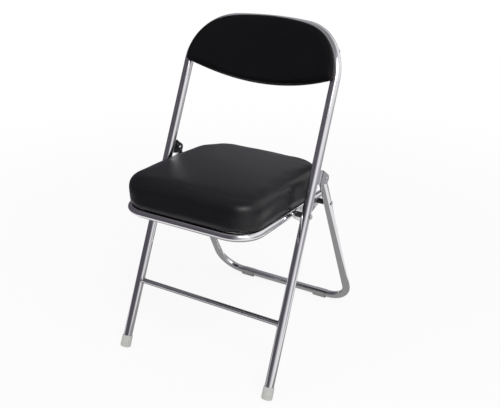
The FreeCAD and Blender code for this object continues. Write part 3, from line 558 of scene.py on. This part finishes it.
seat_joint = next(joint for joint in frame["joints"] if joint["name"] == "seat_fold")
SEAT_PLACE = Matrix.Translation(seat_joint["pos_m"]) @ Matrix.Rotation(-SEAT_TILT, 4, "X")
cover_middle = (COVER_FRONT + COVER_REAR) / 2
cover_half_length = (COVER_REAR - COVER_FRONT) / 2
form = bmesh.new()
bmesh.ops.create_grid(form, x_segments=COVER_COLUMNS, y_segments=COVER_ROWS, size=1)
bmesh.ops.scale(form, vec=(COVER_HALF_WIDTH, cover_half_length, 1), verts=form.verts)
for vertex in form.verts:
    inside = min(COVER_HALF_WIDTH - abs(vertex.co.x), cover_half_length - abs(vertex.co.y))
    hang = min(1.0, inside / WAVE_LENGTH * 2)
    wave = noise.noise(Vector((vertex.co.x, vertex.co.y, WAVE_SLICE)) / WAVE_LENGTH) + 1
    vertex.co.z = -hang * wave * COVER_SLACK
bmesh.ops.translate(form, vec=(0, cover_middle, BOARD_UNDERSIDE - COVER_GAP), verts=form.verts)
bmesh.ops.transform(form, matrix=SEAT_PLACE, verts=form.verts)
mesh = bpy.data.meshes.new("dust_cover")
form.to_mesh(mesh)
form.free()
dust_cover = put("dust_cover", mesh, "seat", spunbond)
thick = dust_cover.modifiers.new("thick", "SOLIDIFY")
thick.thickness = COVER_THICKNESS
thick.offset = -1
print("dust cover faces:", len(mesh.polygons))

# %% [markdown]
# ## Staples
# Each staple is a flat wire bridge about ten millimetres long. One bevelled bar is enough,
# since its legs are inside the board, and it is set down again and again round the edge.

# %% Staples
STAPLE_SIZE = Vector((0.0105, 0.0012, 0.0007))
STAPLE_INSET = 0.006
STAPLE_STEP = 0.034
STAPLE_BEVEL = 0.0002
STAPLE_SKEW = 0.12
SKEW_SLICE = 0.5

form = bmesh.new()


def staple(x, y, angle):
    """One staple on the cover, turned in the seat's plane."""
    drop = Matrix.Translation((x, y, BOARD_UNDERSIDE - COVER_GAP - COVER_THICKNESS - STAPLE_SIZE.z / 2))
    size = Matrix.Diagonal((*STAPLE_SIZE, 1))
    turned = drop @ Matrix.Rotation(angle, 4, "Z") @ size
    bar = bmesh.ops.create_cube(form, size=1, matrix=SEAT_PLACE @ turned)
    edges = {edge for vertex in bar["verts"] for edge in vertex.link_edges}
    bmesh.ops.bevel(
        form, geom=list(edges), offset=STAPLE_BEVEL, affect="EDGES", segments=1, profile=0.5, material=-1,
    )


across = COVER_HALF_WIDTH - STAPLE_INSET
along = cover_half_length - STAPLE_INSET
gaps_across = int(2 * across / STAPLE_STEP)
gaps_along = int(2 * along / STAPLE_STEP)
for n in range(gaps_across + 1):
    x = -across + n * 2 * across / gaps_across
    tilt = STAPLE_SKEW * noise.noise(Vector((x, SKEW_SLICE, 0)) / STAPLE_STEP)
    staple(x, cover_middle - along, tilt)
    staple(x, cover_middle + along, -tilt)
for n in range(1, gaps_along):
    y = -along + n * 2 * along / gaps_along
    tilt = math.pi / 2 + STAPLE_SKEW * noise.noise(Vector((SKEW_SLICE, y, 0)) / STAPLE_STEP)
    staple(-across, cover_middle + y, tilt)
    staple(across, cover_middle + y, -tilt)
mesh = bpy.data.meshes.new("cover_staples")
form.to_mesh(mesh)
form.free()
staples = put("cover_staples", mesh, "seat", zinc)
for face in mesh.polygons:
    face.use_smooth = False
print("staple faces:", len(mesh.polygons))

# %% [markdown]
# ## Weld beads
# The stretcher is brazed to the legs, and a small collar of filler runs round each end. It
# is a circle spun about the stretcher's axis, then pushed along it to follow the leg's round
# side, with a faint ripple where the torch paused.

# %% Weld beads
LEG_LEAN = math.radians(25.4)
LEG_RADIUS = 0.011
LEG_AXIS_X = 0.20283
BEAD_RADIUS = 0.0017
BEAD_REACH = 0.0072
BEAD_RIPPLES = 17
BEAD_RIPPLE = 0.0002
BEAD_SIDES = 14
BEAD_STEPS = 40

stretcher_low, stretcher_high = (Vector(v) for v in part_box("stretcher"))
stretcher_middle = (stretcher_low + stretcher_high) / 2
for side, name in ((1, "weld_bead_right"), (-1, "weld_bead_left")):
    form = bmesh.new()
    ring = Matrix.Translation((0, BEAD_REACH, 0))
    bmesh.ops.create_circle(form, segments=BEAD_SIDES, radius=BEAD_RADIUS, matrix=ring)
    bmesh.ops.spin(
        form, geom=form.verts[:] + form.edges[:], cent=(0, 0, 0), axis=(1, 0, 0), angle=2 * math.pi,
        steps=BEAD_STEPS, use_merge=True,
    )
    for vertex in form.verts:
        x, y, z = vertex.co
        angle = math.atan2(z, y)
        swelled = 1 + BEAD_RIPPLE * math.sin(BEAD_RIPPLES * angle) / BEAD_RADIUS
        out = Vector((0, y, z)).normalized() * BEAD_REACH
        local = (Vector((x, y, z)) - out) * swelled
        behind = y * math.cos(LEG_LEAN) - z * math.sin(LEG_LEAN)
        surface = math.sqrt(LEG_RADIUS ** 2 - behind ** 2)
        vertex.co = out + local + Vector((LEG_AXIS_X - surface, 0, 0))
        vertex.co.x *= side
    bmesh.ops.translate(form, vec=(0, stretcher_middle.y, stretcher_middle.z), verts=form.verts)
    bmesh.ops.recalc_face_normals(form, faces=form.faces)
    mesh = bpy.data.meshes.new(name)
    form.to_mesh(mesh)
    form.free()
    put(name, mesh, "front_frame", grey_plate)
print("beads at height", round(stretcher_middle.z, 4))

# %% [markdown]
# ## Floor
# The chair stands on a pale floor that runs into the white surroundings. Lit by lamps alone
# it would turn grey where they are weak, so to the eye the floor glows, and only a share near
# the chair is left to light and shadow. Further out the glow takes over and hides the edge.

# %% Floor
FLOOR_RADIUS = 12.0
DISC_SIDES = 64
SHADOW_REACH = 0.7
SHADOW_END = 2.2
GLOW_NEAR = 0.88


def stage_piece(name, form, material):
    """A floor or card that isn't part of the chair."""
    mesh = bpy.data.meshes.new(name)
    form.to_mesh(mesh)
    form.free()
    obj = bpy.data.objects.new(name, mesh)
    scene.collection.objects.link(obj)
    dress(obj, material)
    return obj


def disc(radius, height):
    """A flat round form at a height."""
    form = bmesh.new()
    bmesh.ops.create_circle(form, cap_ends=True, segments=DISC_SIDES, radius=radius)
    bmesh.ops.translate(form, vec=(0, 0, height), verts=form.verts)
    return form


def seen_rays(tree):
    """A socket that is one for what the eye sees: straight, mirrored or through glass."""
    path = add(tree, "ShaderNodeLightPath")
    mirrored = add(tree, "ShaderNodeMath", {
        0: path.outputs["Is Camera Ray"], 1: path.outputs["Is Glossy Ray"],
    }, operation="MAXIMUM")
    seen = add(tree, "ShaderNodeMath", {
        0: mirrored.outputs["Value"], 1: path.outputs["Is Transmission Ray"],
    }, operation="MAXIMUM")
    return seen.outputs["Value"]


floor_paint, tree, place, output = finish("pale_floor")
glow = add(tree, "ShaderNodeEmission", {"Color": tint("#FFFFFF"), "Strength": 1.0})
matte = add(tree, "ShaderNodeBsdfDiffuse", {"Color": tint("#F2F2F2")})
away = add(tree, "ShaderNodeVectorMath", {0: place}, operation="LENGTH")
glowing = add(tree, "ShaderNodeMapRange", {
    "Value": away.outputs["Value"], "From Min": SHADOW_REACH, "From Max": SHADOW_END, "To Min": GLOW_NEAR,
}, interpolation_type="SMOOTHSTEP")
share = add(tree, "ShaderNodeMath", {0: seen_rays(tree), 1: glowing.outputs["Result"]}, operation="MULTIPLY")
mixed = add(tree, "ShaderNodeMixShader", {
    0: share.outputs["Value"], 1: matte.outputs["BSDF"], 2: glow.outputs["Emission"],
})
tree.links.new(mixed.outputs["Shader"], output.inputs["Surface"])
stage_piece("floor", disc(FLOOR_RADIUS, 0), floor_paint)
print("floor radius:", FLOOR_RADIUS)

# %% [markdown]
# ## Cards for the chrome to mirror
# Chrome only looks like chrome when it has something dark to mirror, so photographers hang
# dark cards outside the picture. Each card here is seen by reflections alone. A hard edge
# would show as a line along every tube, so the upright cards fade out at their ends and tops.

# %% Upright cards
CARD_RADIUS = 0.95
CARD_FADE = 0.45
CARD_STEPS = 24


def reflected_only(obj):
    """Hides a card from the camera and from diffuse light."""
    obj.visible_camera = False
    obj.visible_diffuse = False
    obj.visible_shadow = False


def fading(tree, output, colour, cover):
    """A plain glow that lets rays through where its cover is low."""
    shade = add(tree, "ShaderNodeEmission", {"Color": tint(colour), "Strength": 1.0})
    clear = add(tree, "ShaderNodeBsdfTransparent")
    soft = add(tree, "ShaderNodeMixShader", {
        0: cover, 1: clear.outputs["BSDF"], 2: shade.outputs["Emission"],
    })
    tree.links.new(soft.outputs["Shader"], output.inputs["Surface"])


def card(name, start, sweep, height, colour):
    """A card round the chair, from an azimuth through a sweep in degrees, with a height in metres."""
    material, tree, place, output = finish(name)
    middle = math.radians(start + sweep / 2)
    half = math.radians(sweep / 2)
    ahead = Vector((math.sin(middle), -math.cos(middle), 0))
    beside = ahead.cross(Vector((0, 0, 1)))
    facing = add(tree, "ShaderNodeVectorMath", {0: place, 1: ahead}, operation="DOT_PRODUCT")
    aside = add(tree, "ShaderNodeVectorMath", {0: place, 1: beside}, operation="DOT_PRODUCT")
    turned = add(tree, "ShaderNodeMath", {
        0: aside.outputs["Value"], 1: facing.outputs["Value"],
    }, operation="ARCTAN2")
    off = add(tree, "ShaderNodeMath", {0: turned.outputs["Value"]}, operation="ABSOLUTE")
    ends = add(tree, "ShaderNodeMapRange", {
        "Value": off.outputs["Value"], "From Min": half, "From Max": half * (1 - CARD_FADE),
    }, interpolation_type="SMOOTHSTEP")
    axes = add(tree, "ShaderNodeSeparateXYZ", {"Vector": place})
    rim = add(tree, "ShaderNodeMapRange", {
        "Value": axes.outputs["Z"], "From Min": height, "From Max": height * (1 - CARD_FADE),
    }, interpolation_type="SMOOTHSTEP")
    cover = add(tree, "ShaderNodeMath", {
        0: ends.outputs["Result"], 1: rim.outputs["Result"],
    }, operation="MULTIPLY")
    fading(tree, output, colour, cover.outputs["Value"])
    form = bmesh.new()
    first = math.radians(start)
    spot = Vector((math.sin(first), -math.cos(first), 0)) * CARD_RADIUS
    foot = bmesh.ops.create_vert(form, co=spot)["vert"][0]
    top = bmesh.ops.create_vert(form, co=spot + Vector((0, 0, height)))["vert"][0]
    side = form.edges.new((foot, top))
    bmesh.ops.spin(
        form, geom=[side, foot, top], cent=(0, 0, 0), axis=(0, 0, 1), angle=math.radians(sweep),
        steps=CARD_STEPS,
    )
    reflected_only(stage_piece(name, form, material))


card("dark_card_front", -165, 225, 2.4, "#5C5860")
card("grey_card_right", 60, 110, 0.7, "#A9A8AC")
card("dark_card_behind", 160, 34, 1.5, "#4A474E")
card("grey_card_behind", 178, 64, 2.0, "#A09FA4")
print("upright cards stand at", CARD_RADIUS, "m")

# %% [markdown]
# ## Cards under and over the chair
# The undersides of the tubes would mirror a bare white floor and their upper sides a white
# sky, and both would be lost in the white picture. A small grey disc lies on the floor as
# painted shade, the shadowed floor under the chair that the tubes mirror, and a wide one
# hangs above, which fades from its middle to its rim.

# %% Floor and ceiling cards
FLOOR_CARD_RADIUS = 0.45
FLOOR_CARD_LIFT = 0.001
CEILING_RADIUS = 2.2
CEILING_HEIGHT = 2.3

# Painted shade: this disc glows grey where the floor under the chair is in shadow, and it is seen only in
# reflections.
floor_shade_card_paint, tree, place, output = finish("shaded_floor_card")
shade = add(tree, "ShaderNodeEmission", {"Color": tint("#9C9C9B"), "Strength": 1.0})
tree.links.new(shade.outputs["Emission"], output.inputs["Surface"])
reflected_only(stage_piece("shaded_floor_card", disc(FLOOR_CARD_RADIUS, FLOOR_CARD_LIFT), floor_shade_card_paint))

ceiling_paint, tree, place, output = finish("grey_ceiling_card")
away = add(tree, "ShaderNodeVectorMath", {0: place}, operation="LENGTH")
cover = add(tree, "ShaderNodeMapRange", {
    "Value": away.outputs["Value"],
    "From Min": math.hypot(CEILING_RADIUS, CEILING_HEIGHT), "From Max": CEILING_HEIGHT,
}, interpolation_type="SMOOTHSTEP")
fading(tree, output, "#8C8B8E", cover.outputs["Result"])
reflected_only(stage_piece("grey_ceiling_card", disc(CEILING_RADIUS, CEILING_HEIGHT), ceiling_paint))
print("ceiling card hangs at", CEILING_HEIGHT, "m")

# %% [markdown]
# ## Surroundings and lamps
# The surroundings are pure white where they are seen, and weaker as a source of light, so
# that the vinyl stays dark. A large soft lamp from the right gives the shape its light and
# shade, and a weaker one from the left opens the shadows.

# %% Surroundings and lamps
SKY_LIGHT = 0.55

world = bpy.data.worlds.new("studio")
scene.world = world
world.use_nodes = True
tree = world.node_tree
tree.nodes.clear()
level = add(tree, "ShaderNodeMapRange", {"Value": seen_rays(tree), "To Min": SKY_LIGHT, "To Max": 1.0})
sky = add(tree, "ShaderNodeBackground", {"Color": tint("#FFFFFF"), "Strength": level.outputs["Result"]})
add(tree, "ShaderNodeOutputWorld", {"Surface": sky.outputs["Background"]})


def lamp(name, spot, aim, size, power):
    """A soft square lamp that looks at a point."""
    light = bpy.data.lights.new(name, "AREA")
    light.size = size
    light.energy = power
    obj = bpy.data.objects.new(name, light)
    obj.location = spot
    obj.rotation_euler = (Vector(aim) - Vector(spot)).to_track_quat("-Z", "Y").to_euler()
    scene.collection.objects.link(obj)


lamp("key", (1.8, -1.2, 2.6), (0, 0, 0.4), 1.6, 45)
lamp("fill", (-1.8, -1.6, 2.0), (0, 0, 0.4), 2.0, 14)
